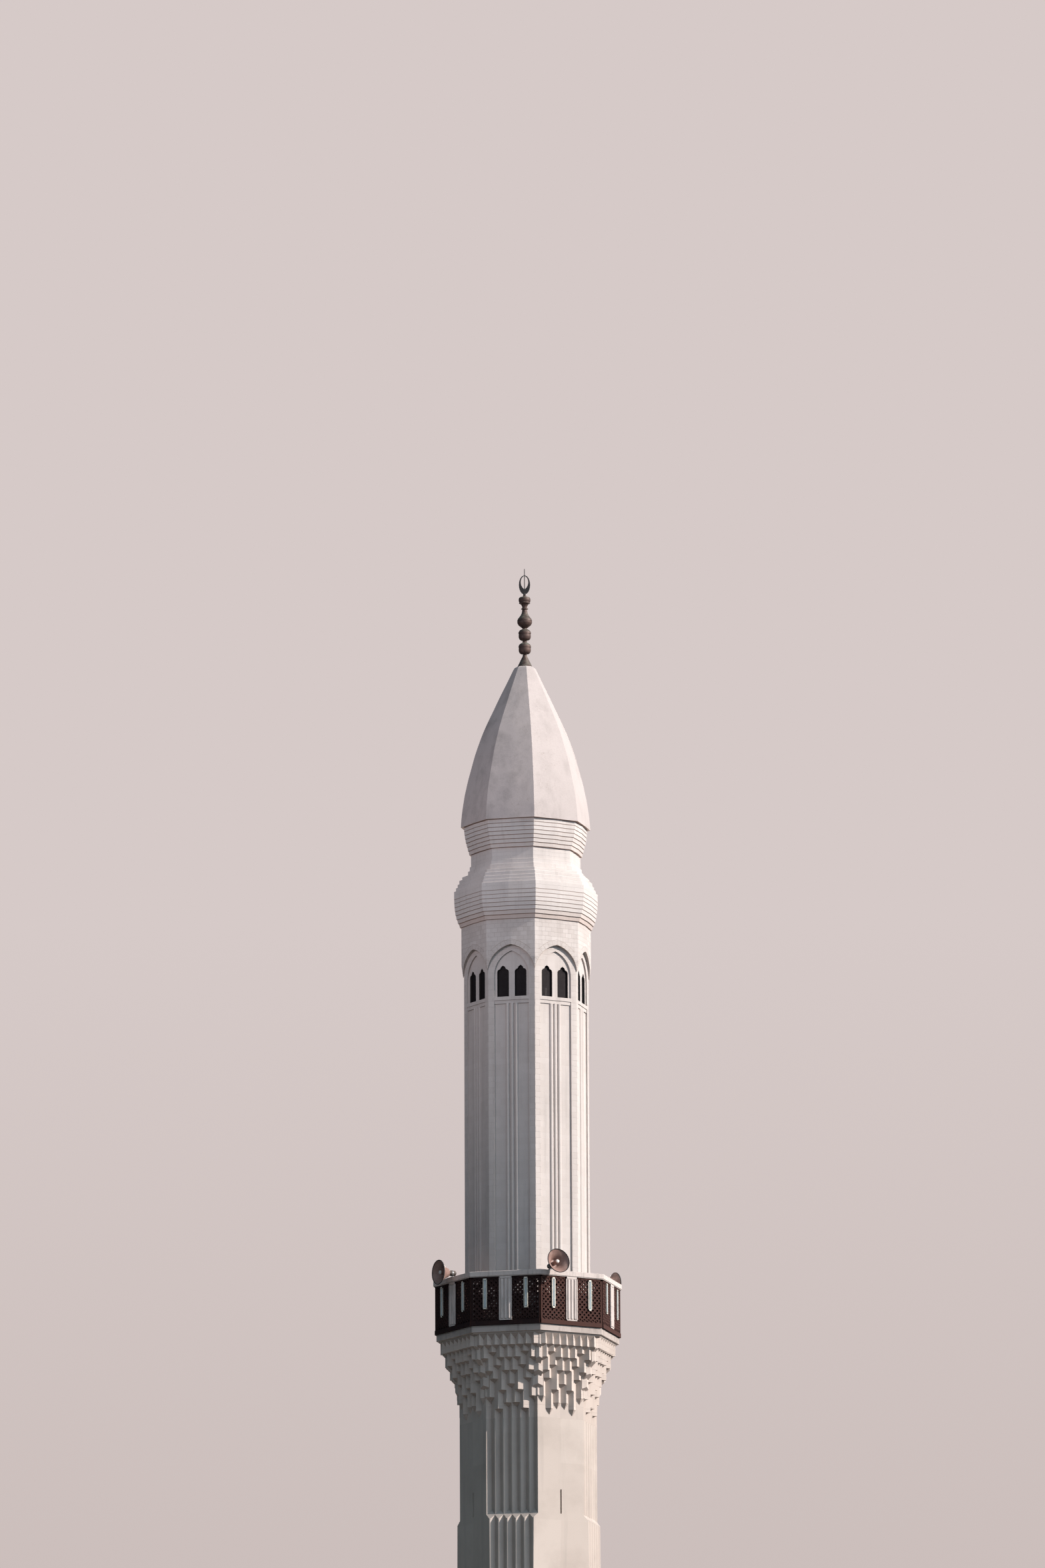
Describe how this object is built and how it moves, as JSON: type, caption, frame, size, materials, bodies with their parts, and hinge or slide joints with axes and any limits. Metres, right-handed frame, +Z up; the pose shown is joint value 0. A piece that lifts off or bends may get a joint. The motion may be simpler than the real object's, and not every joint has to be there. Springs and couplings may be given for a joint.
{
  "type": "minaret",
  "caption": "Tall octagonal minaret with a ribbed lower shaft, a corbelled gallery with pierced screens, an upper shaft with arched twin windows, and a pointed dome with a crescent finial.",
  "frame": {"origin": "middle of the flat underside of the plinth, at ground level", "axes": "+Z up the tower, -Y out of the doorway side, X along that side"},
  "size_m": [4.54, 4.5867, 36.6],
  "materials": {
    "limestone": "matt cut stone",
    "white_plaster": "matt painted plaster",
    "dark_screen": "dark brown paint",
    "dark_bronze": "tarnished",
    "horn_paint": "weathered paint"
  },
  "bodies": {
    "root": {"plinth": "limestone", "right_wall": "limestone", "back_wall": "limestone", "left_wall": "limestone", "front_wall": "limestone", "doorway_wall": "limestone", "pier_1": "limestone", "pier_2": "limestone", "pier_3": "limestone", "pier_4": "limestone", "corbel_tiers": "limestone", "bulge_moulding": "limestone", "dome_cornice": "limestone", "upper_wall_1": "limestone", "upper_wall_2": "limestone", "upper_wall_3": "limestone", "upper_wall_4": "limestone", "upper_wall_5": "limestone", "upper_wall_6": "limestone", "upper_wall_7": "limestone", "upper_wall_8": "limestone", "gallery_slab": "white_plaster", "parapet_frame": "white_plaster", "dome": "white_plaster", "screen_1": "dark_screen", "screen_2": "dark_screen", "screen_3": "dark_screen", "screen_4": "dark_screen", "screen_5": "dark_screen", "screen_6": "dark_screen", "screen_7": "dark_screen", "screen_8": "dark_screen", "finial_balls": "dark_bronze", "finial_vase": "dark_bronze", "crescent": "dark_bronze", "horn_1": "horn_paint", "horn_2": "horn_paint", "horn_3": "horn_paint", "horn_4": "horn_paint"}
  },
  "joints": []
}
